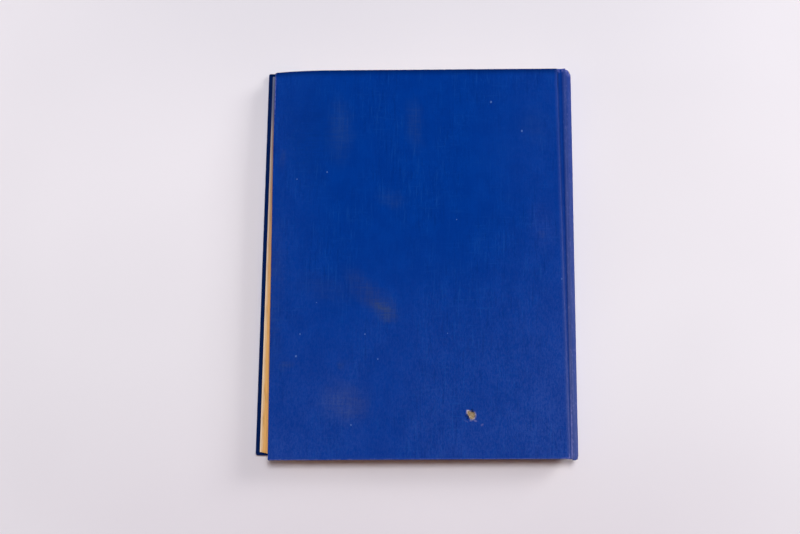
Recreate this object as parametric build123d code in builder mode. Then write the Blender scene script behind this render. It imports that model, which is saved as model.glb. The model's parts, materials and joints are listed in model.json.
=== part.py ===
from build123d import *
import math
import os

# A cloth-bound album lying on its front cover, with its back cover up.
# +X points to the spine, +Y to the head and +Z up. The origin lies under the middle of the album.
# All sizes are in millimetres and all angles in degrees.

# Covers
cover_height = 310.0
cover_width = 229.2
album_thickness = 18.0
board_thickness = 2.2
cloth_thickness = 0.45
turn_in_width = 15.0
pastedown_thickness = 0.3
pastedown_margin = 3.5
cover_corner_radius = 1.5
cover_edge_radius = 0.7

# Where the slack binding has let the back cover move against the front cover
lean = 9.24
slip = -1.0
skew = 0.93

# The bent corner of the back cover, at the head and the fore-edge
bend_head_run = 45.0
bend_fore_run = 100.0
bend_drop = 4.8

# Hole worn through the cloth of the back cover: its distance from the spine edge and from the tail edge,
# and its radius at even steps round it, starting towards the spine
hole_from_spine = 74.2
hole_from_tail = 33.6
hole_radii = [3.0, 2.1, 2.0, 3.4, 2.2, 2.3, 3.4, 3.0]

# Leaves
fore_square = 3.3
end_square = 2.5
leaf_back_reach = 4.0
block_bulge = 2.5
block_clearance = 0.2
lining_thickness = 0.4
lining_glue_gap = 0.2
lining_end_margin = 12.0
gatherings = 8

# Spine of the case and the joints beside it
front_hinge_height = 1.75
back_hinge_drop = 0.2
front_shoulder_width = 3.5
front_groove_depth = 2.2
back_shoulder_width = 0.75
back_groove_depth = 1.1
groove_end_width = 1.3
groove_wall_run = 0.6
groove_fillet = 0.35
spine_crown_share = 0.675
spine_card_thickness = 0.8
spine_card_arc = 76.0
spine_head_radius = 4.5
spine_tail_radius = 2.2

# Depths of the layers in a cover, counted from its outer face
board_depth = cloth_thickness + board_thickness
turn_in_depth = board_depth + cloth_thickness
cover_thickness = turn_in_depth + pastedown_thickness
board_corner_radius = cover_corner_radius - cloth_thickness

# The spine is two arcs that meet upright at the crown, one rising from each hinge line
back_hinge_height = album_thickness - back_hinge_drop
spine_height = back_hinge_height - front_hinge_height
lower_spine_radius = spine_crown_share * spine_height
upper_spine_radius = spine_height - lower_spine_radius
spine_crown_height = front_hinge_height + lower_spine_radius

# The turned back cover brings its spine edge nearest to its hinge line at the tail, so the groove of its
# joint narrows from head to tail
turn = math.radians(skew)
edge_swing = cover_height / 2 * math.sin(turn)
back_joint_width = groove_end_width + back_shoulder_width
hinge_offset = lean + cover_width / 2 * math.cos(turn) + edge_swing + back_joint_width
crown_offset = hinge_offset + upper_spine_radius
overall_width = cover_width / 2 + crown_offset

# Places along X, with the whole album centred on the origin
front_center_x = cover_width / 2 - overall_width / 2
front_edge_x = front_center_x + cover_width / 2
front_hinge_x = front_center_x + crown_offset - lower_spine_radius
front_joint_width = front_hinge_x - front_edge_x
back_center_x = front_center_x + lean
back_hinge_x = front_center_x + hinge_offset

# Leaves, which reach past the boards into the rounded back
leaf_width = cover_width - fore_square + leaf_back_reach
leaf_height = cover_height - 2 * end_square
block_low = cover_thickness
block_top = album_thickness - cover_thickness - block_clearance
gathering_shares = [index / gatherings for index in range(gatherings + 2)]

# Reach of the bodies that sheets are cut from, past the whole album, and of the bend past its corner
reach = overall_width + cover_height
bend_overrun = 1.6

front_plane = Plane(origin=(front_center_x, 0, 0))
back_plane = Plane(
    origin=(back_center_x, slip, 0),
    x_dir=(math.cos(turn), math.sin(turn), 0),
    z_dir=(0, 0, 1),
)

# The bend runs straight across the corner, so the board stays a developable sheet
bend_line = Vector(bend_head_run, bend_fore_run).normalized()
bend_span = bend_head_run * bend_line.Y
bend_radius = (bend_span**2 + bend_drop**2) / (2 * bend_drop)
bend_center_height = album_thickness - bend_radius
bend_arc = bend_overrun * math.degrees(bend_span / bend_radius)
bend_along = bend_line.rotate(Axis.Z, skew)
bend_plane = Plane(
    origin=back_plane.from_local_coords((bend_head_run - cover_width / 2, cover_height / 2, 0)),
    x_dir=bend_along.rotate(Axis.Z, 90),
    z_dir=bend_along,
)


def bent_section(low, high):
    """Section of a sheet between two heights, flat up to the bend line and curved down past it."""
    center = (0, bend_center_height)
    with BuildSketch(bend_plane) as section:
        with BuildLine():
            low_curve = CenterArc(center, low - bend_center_height, 90, -bend_arc)
            high_curve = CenterArc(center, high - bend_center_height, 90, -bend_arc)
            Line(low_curve @ 1, high_curve @ 1)
            Polyline(low_curve @ 0, (-reach, low), (-reach, high), high_curve @ 0)
        make_face()
    return section.sketch


def cover_outline(plane, fore_inset, end_inset, corner=0.0):
    """Plan of a cover layer, set in from the fore-edge and from the head and tail."""
    with BuildSketch(plane) as outline:
        with Locations((fore_inset / 2, 0)):
            Rectangle(cover_width - fore_inset, cover_height - 2 * end_inset)
        if corner > 0:
            fillet(outline.vertices().group_by(Axis.X)[0], corner)
    return outline.sketch


def bent_sheet(low, high, outline):
    """Sheet of the back cover between two heights, cut to its plan."""
    with BuildPart() as sheet:
        extrude(bent_section(low, high), amount=reach, both=True)
        extrude(outline, amount=album_thickness, mode=Mode.INTERSECT)
    return sheet.part


def cover_rim(cloth):
    """Edges that run round the fore-edge, head and tail of a cover."""
    walls = cloth.faces().filter_by(lambda face: abs(face.normal_at().Z) < 0.1)
    rim_walls = walls.sort_by(Axis.X)[:-1]
    return [edge for wall in rim_walls for edge in wall.edges() if abs(edge.tangent_at(0.5).Z) < 0.5]


def joint_section(plane, edge, shoulder, end, outer_height, groove_height, hinge_height):
    """Section of the cloth that dips into the groove from a board's edge to a shoulder and runs level on."""
    inward = math.copysign(cloth_thickness, groove_height - outer_height)
    outer_points = [
        (edge, outer_height),
        (edge + groove_wall_run, groove_height),
        (shoulder - groove_wall_run, groove_height),
        (shoulder, hinge_height),
        (end, hinge_height),
    ]
    inner_points = [(x, height + inward) for x, height in reversed(outer_points)]
    with BuildSketch(plane) as section:
        with BuildLine():
            Polyline(outer_points, inner_points, close=True)
        make_face()
        bends = section.vertices().filter_by(lambda vertex: edge < vertex.X < end)
        fillet(bends, groove_fillet)
    return section.sketch


def back_joint_section(plane, edge, shoulder, end):
    """Section of the joint beside the back board."""
    groove_height = album_thickness - back_groove_depth
    return joint_section(plane, edge, shoulder, end, album_thickness, groove_height, back_hinge_height)


def spine_section(start_y, outer_inset, inner_inset, arc):
    """Section of a layer of the spine, reaching the same angle from the crown on both arcs."""
    lower_center = (front_hinge_x, spine_crown_height)
    upper_center = (back_hinge_x, spine_crown_height)
    with BuildSketch(Plane.XZ.offset(-start_y)) as section:
        with BuildLine():
            outer_low = CenterArc(lower_center, lower_spine_radius - outer_inset, 0, -arc)
            outer_high = CenterArc(upper_center, upper_spine_radius - outer_inset, 0, arc)
            inner_low = CenterArc(lower_center, lower_spine_radius - inner_inset, 0, -arc)
            inner_high = CenterArc(upper_center, upper_spine_radius - inner_inset, 0, arc)
            Line(outer_low @ 1, inner_low @ 1)
            Line(outer_high @ 1, inner_high @ 1)
        make_face()
    return section.sketch


def spine_outline(inset):
    """Plan of the spine. Its worn outer corners are rounded, more at the head."""
    crown_x = front_hinge_x + lower_spine_radius - inset
    with BuildSketch() as outline:
        with Locations((crown_x - reach / 2, 0)):
            Rectangle(reach, cover_height - 2 * inset)
        tail_corner, head_corner = outline.vertices().group_by(Axis.X)[-1].sort_by(Axis.Y)
        fillet(head_corner, spine_head_radius - inset)
        fillet(tail_corner, spine_tail_radius - inset)
    return outline.sketch


def leaf_plane(share):
    """Plane of one leaf. The leaves lean, slip and turn from the front cover to the back cover."""
    height = block_low + share * (block_top - block_low)
    leaf_turn = math.radians(share * skew)
    roundness = 4 * share * (1 - share)
    fore_x = front_center_x - cover_width / 2 + fore_square + share * lean + roundness * block_bulge
    return Plane(
        origin=(fore_x + leaf_width / 2, share * slip, height),
        x_dir=(math.cos(leaf_turn), math.sin(leaf_turn), 0),
        z_dir=(0, 0, 1),
    )


# Leaves, one solid that leans with the slack binding and dips under the bent corner
with BuildPart() as text_block:
    for leaf_share in gathering_shares:
        with BuildSketch(leaf_plane(leaf_share)):
            Rectangle(leaf_width, leaf_height)
    loft(ruled=True)
    extrude(bent_section(block_low, block_top), amount=reach, both=True, mode=Mode.INTERSECT)

# Gauze and paper strip glued to the rounded back of the leaves
with BuildPart() as spine_lining:
    for leaf_share in gathering_shares:
        with BuildSketch(leaf_plane(leaf_share)):
            with Locations((leaf_width / 2 + lining_glue_gap + lining_thickness / 2, 0)):
                Rectangle(lining_thickness, leaf_height - 2 * lining_end_margin)
    loft(ruled=True)
    extrude(bent_section(block_low, block_top), amount=reach, both=True, mode=Mode.INTERSECT)

# Stiff card strip inside the spine of the case
with BuildPart() as spine_card:
    card_section = spine_section(
        cover_height / 2, cloth_thickness, cloth_thickness + spine_card_thickness, spine_card_arc
    )
    extrude(card_section, amount=cover_height)
    extrude(spine_outline(cloth_thickness), amount=album_thickness, mode=Mode.INTERSECT)

# Cloth over the spine, folded in over both ends of the card
with BuildPart() as spine_cloth:
    extrude(spine_section(cover_height / 2, 0, cloth_thickness, 90), amount=cover_height)
    for fold_start in (cover_height / 2, turn_in_width - cover_height / 2):
        fold_section = spine_section(
            fold_start, cloth_thickness, 2 * cloth_thickness + spine_card_thickness, spine_card_arc
        )
        extrude(fold_section, amount=turn_in_width)
    extrude(spine_outline(0), amount=album_thickness, mode=Mode.INTERSECT)
    add(spine_card.part, mode=Mode.SUBTRACT)

# Front cover, which the album lies on
with BuildPart() as front_board:
    front_board_outline = cover_outline(
        front_plane.offset(cloth_thickness), cloth_thickness, cloth_thickness, board_corner_radius
    )
    extrude(front_board_outline, amount=board_thickness)

# The pastedown fills the space between the turn-ins and laps over them
with BuildPart() as front_pastedown:
    extrude(
        cover_outline(front_plane.offset(board_depth), turn_in_width, turn_in_width),
        amount=cloth_thickness,
    )
    extrude(
        cover_outline(front_plane.offset(turn_in_depth), pastedown_margin, pastedown_margin),
        amount=pastedown_thickness,
    )

with BuildPart() as front_cover_cloth:
    extrude(cover_outline(front_plane, 0, 0, cover_corner_radius), amount=turn_in_depth)
    fillet(cover_rim(front_cover_cloth), cover_edge_radius)
    add(front_board.part, mode=Mode.SUBTRACT)
    add(front_pastedown.part, mode=Mode.SUBTRACT)
    front_joint = joint_section(
        Plane.XZ.offset(-cover_height / 2),
        front_edge_x,
        front_hinge_x - front_shoulder_width,
        front_hinge_x,
        0,
        front_groove_depth,
        front_hinge_height,
    )
    extrude(front_joint, amount=cover_height)

# Back cover, with its bent corner
with BuildPart() as back_board:
    back_board_outline = cover_outline(back_plane, cloth_thickness, cloth_thickness, board_corner_radius)
    add(bent_sheet(album_thickness - board_depth, album_thickness - cloth_thickness, back_board_outline))

with BuildPart() as back_pastedown:
    fill_outline = cover_outline(back_plane, turn_in_width, turn_in_width)
    add(bent_sheet(album_thickness - turn_in_depth, album_thickness - board_depth, fill_outline))
    sheet_outline = cover_outline(back_plane, pastedown_margin, pastedown_margin)
    add(bent_sheet(album_thickness - cover_thickness, album_thickness - turn_in_depth, sheet_outline))

# The joint of the back cover in two halves, which meet on the floor of its groove: one follows the turned
# board, the other the hinge line. Each is cut from a groove wider than any place of the joint.
board_head = back_plane.from_local_coords((cover_width / 2, cover_height / 2, 0))
shoulder_x = back_hinge_x - back_shoulder_width
groove_plane = Plane(origin=(shoulder_x - groove_wall_run, 0, 0), z_dir=(1, 0, 0))
groove_reach = groove_end_width + 2 * edge_swing + groove_wall_run

with BuildPart() as back_joint_at_board:
    board_section = back_joint_section(
        Plane(origin=board_head, x_dir=back_plane.x_dir, z_dir=-back_plane.y_dir),
        0,
        groove_reach,
        groove_reach + back_shoulder_width,
    )
    extrude(board_section, amount=cover_height)
    split(bisect_by=groove_plane, keep=Keep.BOTTOM)

with BuildPart() as back_joint_at_hinge:
    hinge_section = back_joint_section(
        Plane.XZ.offset(-board_head.Y), shoulder_x - groove_reach, shoulder_x, back_hinge_x
    )
    extrude(hinge_section, amount=cover_height * math.cos(turn))
    split(bisect_by=groove_plane, keep=Keep.TOP)

with BuildPart() as back_cover_cloth:
    back_outline = cover_outline(back_plane, 0, 0, cover_corner_radius)
    add(bent_sheet(album_thickness - turn_in_depth, album_thickness, back_outline))
    fillet(cover_rim(back_cover_cloth), cover_edge_radius)
    add(back_board.part, mode=Mode.SUBTRACT)
    add(back_pastedown.part, mode=Mode.SUBTRACT)
    add(back_joint_at_board.part)
    add(back_joint_at_hinge.part)
    with BuildSketch(back_plane.offset(album_thickness)):
        hole_center = Vector(cover_width / 2 - hole_from_spine, hole_from_tail - cover_height / 2)
        with BuildLine():
            hole_points = [
                hole_center + Vector(radius, 0).rotate(Axis.Z, 360 * step / len(hole_radii))
                for step, radius in enumerate(hole_radii)
            ]
            Spline(*hole_points, periodic=True)
        make_face()
    extrude(amount=-cloth_thickness, mode=Mode.SUBTRACT)

pieces = {
    "text_block": text_block,
    "spine_lining": spine_lining,
    "spine_card": spine_card,
    "spine_cloth": spine_cloth,
    "front_board": front_board,
    "front_pastedown": front_pastedown,
    "front_cover_cloth": front_cover_cloth,
    "back_board": back_board,
    "back_pastedown": back_pastedown,
    "back_cover_cloth": back_cover_cloth,
}

os.makedirs("parts", exist_ok=True)
for name, piece in pieces.items():
    piece.part.label = name
    export_step(piece.part, f"parts/{name}.step")
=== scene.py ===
import json
import math
import random

import bpy
import numpy as np
from mathutils import Matrix, Vector, noise


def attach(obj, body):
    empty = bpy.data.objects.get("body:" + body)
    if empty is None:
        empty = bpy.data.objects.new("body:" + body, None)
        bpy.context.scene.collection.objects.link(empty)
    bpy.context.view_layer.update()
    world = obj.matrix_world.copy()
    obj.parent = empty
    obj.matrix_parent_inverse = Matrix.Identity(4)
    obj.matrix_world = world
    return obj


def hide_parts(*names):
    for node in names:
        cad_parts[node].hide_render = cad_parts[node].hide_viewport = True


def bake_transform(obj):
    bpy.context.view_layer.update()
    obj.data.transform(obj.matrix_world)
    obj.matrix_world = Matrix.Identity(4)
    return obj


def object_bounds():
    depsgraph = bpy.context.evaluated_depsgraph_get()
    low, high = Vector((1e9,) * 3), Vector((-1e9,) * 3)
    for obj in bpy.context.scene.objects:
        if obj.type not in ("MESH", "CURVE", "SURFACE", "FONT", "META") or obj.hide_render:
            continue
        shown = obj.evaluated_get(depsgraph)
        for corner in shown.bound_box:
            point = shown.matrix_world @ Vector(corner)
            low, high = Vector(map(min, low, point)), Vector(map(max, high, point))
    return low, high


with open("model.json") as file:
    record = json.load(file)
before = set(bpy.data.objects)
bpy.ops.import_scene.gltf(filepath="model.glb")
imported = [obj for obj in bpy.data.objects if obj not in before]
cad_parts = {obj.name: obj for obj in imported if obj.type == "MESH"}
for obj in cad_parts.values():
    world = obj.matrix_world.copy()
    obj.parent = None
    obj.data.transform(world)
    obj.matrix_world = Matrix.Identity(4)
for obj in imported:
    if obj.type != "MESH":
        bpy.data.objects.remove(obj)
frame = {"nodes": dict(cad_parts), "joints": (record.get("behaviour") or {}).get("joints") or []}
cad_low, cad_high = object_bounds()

# Lengths are in millimetres and angles in degrees, where no comment says otherwise, until a mesh is made.
# The album lies on its front cover.
MM = 0.001
ANY_HEIGHT = 1e6

# Sizes of the case, as the solids have them
COVER_WIDTH = 229.2
COVER_HEIGHT = 310.0
ALBUM_THICKNESS = 18.0
CLOTH_SHOWN = 0.43
TURN_IN = 15.0
TURN_IN_DEPTH = 3.1
COVER_THICKNESS = 3.4
CORNER = 1.5
EDGE_ROLL = 0.7
SPINE_HEAD_RADIUS = 4.5
SPINE_TAIL_RADIUS = 2.2
SPINE_EDGE_DEPTH = 1.7
JOINT_EDGE_DEPTH = 0.95
FRONT_GROOVE_DEPTH = 2.2
BACK_GROOVE_DEPTH = 1.1
FRONT_SHOULDER = 3.5
BACK_SHOULDER = 0.75
GROOVE_WALL = 0.6
GROOVE_RISE = 0.45

# How the back cover lies over the front one, and its bent corner
SKEW = math.radians(0.93)
LEAN = 9.24
SLIP = -1.0
BEND_HEAD_RUN = 45.0
BEND_FORE_RUN = 100.0
BEND_DROP = 4.8

# Leaves
LEAF_FORE_SQUARE = 3.3
LEAF_BACK_REACH = 4.0
LEAF_HEIGHT = 305.0
LEAF_COUNT = 54
LEAF_BULGE = 2.5
BLOCK_CLEARANCE = 0.2

joints = {joint["name"]: joint for joint in frame["joints"]}
front_hinge = Vector(joints["front_cover_hinge"]["pos_m"]) / MM
back_hinge = Vector(joints["back_cover_hinge"]["pos_m"]) / MM
back_level = ALBUM_THICKNESS - back_hinge.z
crown_x = cad_high.x / MM
half_width = COVER_WIDTH / 2
half_height = COVER_HEIGHT / 2
front_center_x = cad_low.x / MM + half_width
back_center = (front_center_x + LEAN, SLIP)
leaf_fore_x = cad_low.x / MM + LEAF_FORE_SQUARE
leaf_width = COVER_WIDTH - LEAF_FORE_SQUARE + LEAF_BACK_REACH
lower_spine_radius = crown_x - front_hinge.x
upper_spine_radius = crown_x - back_hinge.x
crown_z = front_hinge.z + lower_spine_radius
block_low = COVER_THICKNESS
block_top = ALBUM_THICKNESS - COVER_THICKNESS - BLOCK_CLEARANCE

bend_length = math.hypot(BEND_HEAD_RUN, BEND_FORE_RUN)
bend_side = (-BEND_FORE_RUN / bend_length, BEND_HEAD_RUN / bend_length)
bend_span = BEND_HEAD_RUN * BEND_FORE_RUN / bend_length
bend_radius = (bend_span**2 + BEND_DROP**2) / (2 * BEND_DROP)


def smooth(value, low=0.0, high=1.0):
    """Eased share of the way from low to high."""
    share = min(1.0, max(0.0, (value - low) / (high - low)))
    return share * share * (3 - 2 * share)


def ripple(place, frequency):
    """Smooth noise at a place, with about that many changes per unit along each axis."""
    return noise.noise(Vector([p * f for p, f in zip(place, frequency)]))


def back_sheet_height(u, v, depth):
    """Height of a sheet of the back cover, at a depth under its outer face, bent down at the corner."""
    past = (u + half_width - BEND_HEAD_RUN) * bend_side[0] + (v - half_height) * bend_side[1]
    radius = bend_radius - depth
    return ALBUM_THICKNESS - bend_radius + math.sqrt(radius**2 - max(past, 0.0) ** 2)


def on_back_cover(u, v, depth):
    """Point of the back cover. u runs from fore-edge to spine, v from tail to head, both from its middle."""
    return (
        back_center[0] + u * math.cos(SKEW) - v * math.sin(SKEW),
        back_center[1] + u * math.sin(SKEW) + v * math.cos(SKEW),
        back_sheet_height(u, v, depth),
    )


def on_front_cover(u, v, depth):
    return (front_center_x + u, v, depth)


def to_back_cover(x, y):
    """The u and v of a place on the back cover."""
    x, y = x - back_center[0], y - back_center[1]
    return x * math.cos(SKEW) + y * math.sin(SKEW), y * math.cos(SKEW) - x * math.sin(SKEW)


class Shape:
    """Points, faces and per-point marks of a mesh that is being made."""

    def __init__(self, *marks):
        self.points = []
        self.faces = []
        self.marks = {mark: [] for mark in marks}

    def point(self, place, **marks):
        self.points.append(place)
        for mark, values in self.marks.items():
            values.append(marks.get(mark, 0.0))
        return len(self.points) - 1

    def face(self, *corners):
        """Adds a face, leaving out corners that fall together."""
        kept = [c for i, c in enumerate(corners) if c != corners[i - 1]]
        if len(kept) > 2:
            self.faces.append(kept)

    def band(self, first, second, closed=False):
        """Joins two rows of points by faces."""
        count = len(first)
        for i in range(count if closed else count - 1):
            j = (i + 1) % count
            self.face(first[i], first[j], second[j], second[i])

    def sheet(self, rows):
        """Joins each row of points to the next."""
        for first, second in zip(rows, rows[1:]):
            self.band(first, second)

    def build(self, name, material, sharp, flip=False):
        used = sorted({corner for face in self.faces for corner in face})
        order = {old: new for new, old in enumerate(used)}
        mesh = bpy.data.meshes.new(name)
        faces = [[order[c] for c in (reversed(face) if flip else face)] for face in self.faces]
        mesh.from_pydata([Vector(self.points[i]) * MM for i in used], [], faces)
        for mark, values in self.marks.items():
            layer = mesh.attributes.new(mark, "FLOAT", "POINT")
            layer.data.foreach_set("value", np.array([values[i] for i in used], np.float32))
        mesh.shade_smooth()
        mesh.set_sharp_from_angle(angle=math.radians(sharp))
        mesh.materials.append(material)
        mesh.validate()
        piece = bpy.data.objects.new(name, mesh)
        bpy.context.scene.collection.objects.link(piece)
        return piece


def thicken(piece, thickness):
    """Gives an open sheet its thickness, on the side away from its normals."""
    solid = piece.modifiers.new("thickness", "SOLIDIFY")
    solid.thickness = thickness * MM
    solid.offset = -1.0
    return piece


def paint(red, green, blue):
    """Linear colour from display values between 0 and 255."""

    def linear(value):
        share = value / 255
        return share / 12.92 if share <= 0.04045 else ((share + 0.055) / 1.055) ** 2.4

    return (linear(red), linear(green), linear(blue), 1.0)


class Nodes:
    """A node tree that is being made. What a node is given is a constant or the output of another node."""

    def __init__(self, tree):
        self.tree = tree
        tree.nodes.clear()

    def put(self, kind, values=None, **settings):
        made = self.tree.nodes.new(kind)
        for key, value in settings.items():
            setattr(made, key, value)
        for key, value in (values or {}).items():
            self.feed(made.inputs[key], value)
        return made

    def feed(self, socket, value):
        if isinstance(value, bpy.types.NodeSocket):
            self.tree.links.new(value, socket)
        else:
            socket.default_value = value

    def vector(self, operation, first, second=(0, 0, 0), scale=1.0):
        made = self.put("ShaderNodeVectorMath", {0: first, 1: second, 3: scale}, operation=operation)
        return made.outputs["Value" if operation == "LENGTH" else "Vector"]

    def axes(self, place):
        return self.put("ShaderNodeSeparateXYZ", {0: place}).outputs

    def math(self, operation, first, second=0.0, clamp=False):
        made = self.put("ShaderNodeMath", {0: first, 1: second}, operation=operation, use_clamp=clamp)
        return made.outputs[0]

    def times(self, first, second, clamp=False):
        return self.math("MULTIPLY", first, second, clamp)

    def most(self, first, *others):
        """The greatest of several values."""
        for other in others:
            first = self.math("MAXIMUM", first, other)
        return first

    def ramp(self, value, low, high, start=0.0, end=1.0):
        """Eased change from start to end while the value goes from low to high."""
        made = self.put(
            "ShaderNodeMapRange",
            {"Value": value, "From Min": low, "From Max": high, "To Min": start, "To Max": end},
            interpolation_type="SMOOTHSTEP",
        )
        return made.outputs["Result"]

    def mix(self, share, first, second, blend="MIX"):
        made = self.put("ShaderNodeMix", {0: share, 6: first, 7: second}, data_type="RGBA", blend_type=blend)
        return made.outputs[2]

    def seen_share(self):
        """One for rays that show the background: those of the camera, of gloss and of clear matter."""
        path = self.put("ShaderNodeLightPath").outputs
        return self.most(path["Is Camera Ray"], path["Is Glossy Ray"], path["Is Transmission Ray"])


class Surface(Nodes):
    """A material that is being made. Its coordinates are in millimetres of the album's frame."""

    def __init__(self, name):
        self.material = bpy.data.materials.new(name)
        self.material.use_nodes = True
        super().__init__(self.material.node_tree)
        place = self.put("ShaderNodeTexCoord").outputs["Object"]
        self.mm = self.vector("SCALE", place, scale=1 / MM)

    def noise(self, frequency, detail=2.0, roughness=0.5):
        """Noise of about that many changes per millimetre along each axis."""
        stretched = self.vector("MULTIPLY", self.mm, frequency)
        made = self.put(
            "ShaderNodeTexNoise",
            {"Vector": stretched, "Scale": 1.0, "Detail": detail, "Roughness": roughness},
        )
        return made.outputs["Fac"]

    def mark(self, name):
        return self.put("ShaderNodeAttribute", attribute_name=name).outputs["Fac"]

    def moved(self, place, center, turn, scale=(1, 1, 1)):
        """A place, as seen from a center on the sheet, along turned and stretched axes."""
        made = self.put(
            "ShaderNodeMapping",
            {"Vector": place, "Location": (*center, 0), "Rotation": (0, 0, turn), "Scale": scale},
            vector_type="TEXTURE",
        )
        return made.outputs["Vector"]

    def blot(self, place, x, y, half_x, half_y, angle=0.0, core=0.1):
        """1 at a place on the sheet, falling to 0 at the edge of an ellipse round it."""
        inside = self.moved(place, (x, y), math.radians(angle), (half_x, half_y, ANY_HEIGHT))
        return self.ramp(self.vector("LENGTH", inside), core, 1.0, 1.0, 0.0)

    def shader(self, color, roughness, height=None, bump=0.1, strength=0.5, **values):
        """Output of the shader. Bump is the height's depth in millimetres."""
        made = self.put("ShaderNodeBsdfPrincipled", {"Base Color": color, "Roughness": roughness})
        for key, value in values.items():
            made.inputs[key.replace("_", " ")].default_value = value
        if height is not None:
            bent = self.put(
                "ShaderNodeBump", {"Height": height, "Distance": bump * MM, "Strength": strength}
            )
            self.feed(made.inputs["Normal"], bent.outputs["Normal"])
        return made.outputs[0]

    def close(self, shader):
        self.put("ShaderNodeOutputMaterial", {"Surface": shader})
        return self.material

    def finish(self, *looks, **values):
        """Closes the material with one shader."""
        return self.close(self.shader(*looks, **values))


# Colours of the cloth
DEEP_BLUE = paint(0, 50, 140)
FRESH_BLUE = paint(0, 54, 146)
HAZY_BLUE = paint(60, 85, 164)
LIGHT_THREAD = paint(34, 92, 172)
DARK_THREAD = paint(0, 34, 104)
INNER_NAVY = paint(12, 38, 96)
SHADED_NAVY = paint(0, 24, 70)
FADED_LILAC = paint(75, 88, 147)
FADED_LIGHT = paint(92, 100, 160)
FADED_BLUE = paint(56, 75, 142)
WORN_THREAD = paint(108, 116, 186)
FRAYED_THREAD = paint(206, 194, 206)
SOILED_THREAD = paint(150, 138, 128)
BROWN_STAIN = paint(66, 72, 48)
TAN_STAIN = paint(76, 82, 0)
DULL_STAIN = paint(96, 100, 94)
GREY_SCUFF = paint(52, 80, 114)
LILAC_SCUFF = paint(84, 86, 150)
LILAC_THREAD = paint(126, 128, 178)
PALE_SPECK = paint(112, 152, 216)

# Weave of the cloth
WARP_PITCH = 0.46
WEFT_PITCH = 0.52

# Lighter, greyer blue on the back cover, growing towards the tail and less towards spine and fore-edge: y or
# x where it starts and where it is full, and its share at both
HAZE_TAIL = (50.0, -170.0, 0.0, 0.92)
HAZE_SPINE = (30.0, 112.0, 0.0, 0.3)
HAZE_FORE = (-60.0, -116.0, 0.0, 0.3)
# Handled fore-edge: x where it starts and where it is full, then the ellipse that it fills
HANDLED_EDGE = (-98.0, -116.0)
HANDLED_PLACE = (-112.0, -30.0, 40.0, 95.0, 0.0, 0.2)

# Stains on the back cover: x, y, half length, half width, angle, colour and strength
STAINS = [
    (-36.0, -31.0, 40.0, 14.0, -43.0, BROWN_STAIN, 0.13),
    (-24.7, -42.3, 16.0, 9.5, -45.0, TAN_STAIN, 0.16),
    (-27.5, -40.0, 5.0, 3.4, -70.0, TAN_STAIN, 0.1),
    (-54.0, -114.0, 27.0, 21.0, -20.0, DULL_STAIN, 0.13),
    (-72.0, -26.0, 34.0, 16.0, -20.0, BROWN_STAIN, 0.05),
    (-57.2, -85.2, 5.4, 6.0, 0.0, TAN_STAIN, 0.12),
    (-99.6, -85.6, 7.0, 5.0, 10.0, TAN_STAIN, 0.1),
    (98.0, 18.2, 5.0, 4.8, 0.0, TAN_STAIN, 0.06),
    (98.9, 26.2, 15.0, 30.0, 0.0, LILAC_SCUFF, 0.05),
    (-2.6, 107.1, 9.5, 30.0, 5.0, GREY_SCUFF, 0.14),
    (-62.8, 102.4, 15.0, 38.0, 0.0, GREY_SCUFF, 0.16),
    (-20.3, 45.3, 17.0, 10.0, -20.0, GREY_SCUFF, 0.12),
    (-108.0, 78.0, 5.0, 12.0, 0.0, BROWN_STAIN, 0.1),
    (94.0, 108.0, 18.0, 24.0, 0.0, GREY_SCUFF, 0.06),
    (-88.0, 96.0, 34.0, 60.0, 0.0, DARK_THREAD, 0.2),
]

# Frayed and loose threads round the hole, and painted shadow spots at its edge: x, y, half length, half
# width, angle, colour and strength
HOLE_THREADS_AND_SHADOWS = [
    (40.2, -119.7, 2.0, 1.7, -35.0, FRAYED_THREAD, 0.95),
    (45.5, -122.6, 1.2, 2.0, 10.0, LILAC_THREAD, 0.45),
    (45.2, -126.4, 2.0, 0.9, -20.0, LILAC_THREAD, 0.5),
    (42.2, -126.0, 1.8, 1.0, 20.0, LILAC_THREAD, 0.6),
    (38.4, -126.6, 2.2, 0.8, -30.0, LILAC_THREAD, 0.2),
    (50.7, -129.3, 1.6, 1.2, 30.0, LILAC_THREAD, 0.35),
    # Painted shadow spots at the hole's edge
    (42.8, -118.3, 1.3, 1.4, 0.0, SHADED_NAVY, 0.95),
    (38.4, -122.8, 1.2, 1.6, 20.0, SHADED_NAVY, 0.9),
    (39.6, -124.6, 1.2, 1.0, 0.0, SHADED_NAVY, 0.6),
]

# Small light specks on the back cover: x, y and radius
SPECKS = [
    (58.5, 126.9, 1.27),
    (83.2, 102.9, 1.27),
    (-72.4, 67.6, 0.94),
    (-96.2, 61.7, 0.77),
    (-92.9, -78.7, 1.10),
    (-29.6, -80.3, 0.77),
    (-39.9, -61.1, 0.94),
    (-90.3, -61.7, 0.85),
    (-49.4, -130.5, 0.94),
    (113.1, -16.6, 0.85),
    (30.8, 30.0, 0.68),
    (-78.0, -37.0, 0.59),
    (24.0, -60.0, 0.59),
]


def cloth_threads(mat):
    """Height of a plain weave, and noises along short thread ends, upright threads and level threads."""
    wobble = mat.noise((0.25, 0.25, 0.25), 1.0)
    bent = mat.vector("ADD", mat.mm, mat.times(wobble, 0.9))
    axes = mat.axes(bent)
    warp = mat.math("SINE", mat.times(axes["X"], math.pi / WARP_PITCH))
    weft = mat.math("SINE", mat.times(axes["Y"], math.pi / WEFT_PITCH))
    over = mat.ramp(mat.times(warp, weft), -0.2, 0.2)
    warp_height = mat.math("ABSOLUTE", warp)
    weft_height = mat.math("ABSOLUTE", weft)
    step = mat.math("SUBTRACT", warp_height, weft_height)
    height = mat.math("MULTIPLY_ADD", step, over)
    mat.tree.links.new(weft_height, height.node.inputs[2])
    dashes = mat.noise((0.85, 0.3, 0.6), 2.0, 0.6)
    upright = mat.noise((0.7, 0.05, 0.6), 3.0, 0.68)
    level = mat.noise((0.05, 0.7, 0.6), 3.0, 0.68)
    return height, dashes, upright, level


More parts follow.
